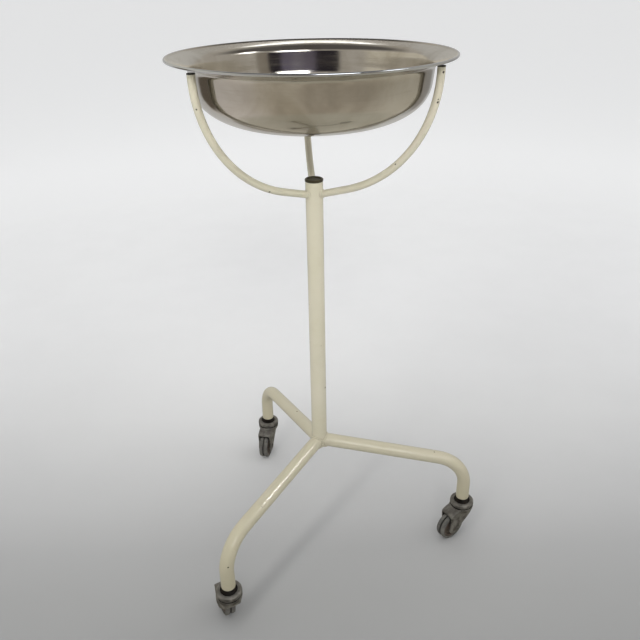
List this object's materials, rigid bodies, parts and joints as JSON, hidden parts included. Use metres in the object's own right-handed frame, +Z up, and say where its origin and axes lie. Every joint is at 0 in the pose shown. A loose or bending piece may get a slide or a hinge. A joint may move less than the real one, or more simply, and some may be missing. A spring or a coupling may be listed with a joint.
{
  "type": "wash basin stand",
  "caption": "Mobile hospital wash-basin stand: a lift-off stainless basin held by its lip on curved arms, on an enamelled tubular post and splayed legs with swivel castors.",
  "frame": {"origin": "centre of the overall box at floor level", "axes": "+Z up, +X towards the right-hand leg, -Y towards the front of the stand as seen in the picture"},
  "size_m": [0.4665, 0.4817, 0.8279],
  "materials": {
    "enamel": "gloss ivory stove enamel, lightly aged, with small dark chips",
    "basin_steel": "polished stainless steel with fine scuffs",
    "castor_casting": "dull grey die casting, worn",
    "bright_steel": "plain steel, slightly rusted",
    "black_plastic": "moulded black plastic, satin",
    "wheel_centre": "brown moulded wheel centre, dull",
    "tyre_rubber": "grey rubber, dusty"
  },
  "bodies": {
    "stand": {"post_tube": "enamel", "post_top_plug": "black_plastic", "leg_right": "enamel", "leg_back": "enamel", "leg_front": "enamel", "arm_right": "enamel", "arm_back": "enamel", "arm_left": "enamel", "arm_right_cap": "black_plastic", "arm_back_cap": "black_plastic", "arm_left_cap": "black_plastic", "castor_right_stem": "bright_steel", "castor_right_stem_sleeve": "black_plastic", "castor_back_stem": "bright_steel", "castor_back_stem_sleeve": "black_plastic", "castor_front_stem": "bright_steel", "castor_front_stem_sleeve": "black_plastic"},
    "basin": {"basin": "basin_steel"},
    "fork_right": {"castor_right_fork": "castor_casting", "castor_right_swivel_cup": "castor_casting", "castor_right_ball_race": "bright_steel", "castor_right_axle": "bright_steel"},
    "wheel_right": {"castor_right_wheel_hub": "wheel_centre", "castor_right_tyre": "tyre_rubber", "castor_right_wheel_bush": "bright_steel"},
    "fork_back": {"castor_back_fork": "castor_casting", "castor_back_swivel_cup": "castor_casting", "castor_back_ball_race": "bright_steel", "castor_back_axle": "bright_steel"},
    "wheel_back": {"castor_back_wheel_hub": "wheel_centre", "castor_back_tyre": "tyre_rubber", "castor_back_wheel_bush": "bright_steel"},
    "fork_front": {"castor_front_fork": "castor_casting", "castor_front_swivel_cup": "castor_casting", "castor_front_ball_race": "bright_steel", "castor_front_axle": "bright_steel"},
    "wheel_front": {"castor_front_wheel_hub": "wheel_centre", "castor_front_tyre": "tyre_rubber", "castor_front_wheel_bush": "bright_steel"}
  },
  "joints": [
    {"name": "basin_lift", "type": "slide", "parent": "stand", "child": "basin", "axis": [0, 0, 1], "range_m": [0, 0.15]},
    {"name": "castor_right_swivel", "type": "hinge", "parent": "stand", "child": "fork_right", "pos_m": [0.21267, -0.0327, 0.06], "axis": [0, 0, 1], "continuous": true},
    {"name": "castor_right_roll", "type": "hinge", "parent": "fork_right", "child": "wheel_right", "pos_m": [0.1917, -0.04631, 0.025], "axis": [0.5446, -0.8387, 0], "continuous": true},
    {"name": "castor_back_swivel", "type": "hinge", "parent": "stand", "child": "fork_back", "pos_m": [-0.14986, 0.2202, 0.06], "axis": [0, 0, 1], "continuous": true},
    {"name": "castor_back_roll", "type": "hinge", "parent": "fork_back", "child": "wheel_back", "pos_m": [-0.15548, 0.19584, 0.025], "axis": [0.9744, -0.225, 0], "continuous": true},
    {"name": "castor_front_swivel", "type": "hinge", "parent": "stand", "child": "fork_front", "pos_m": [-0.18761, -0.2202, 0.06], "axis": [0, 0, 1], "continuous": true},
    {"name": "castor_front_roll", "type": "hinge", "parent": "fork_front", "child": "wheel_front", "pos_m": [-0.19896, -0.19793, 0.025], "axis": [-0.891, -0.454, 0], "continuous": true}
  ]
}
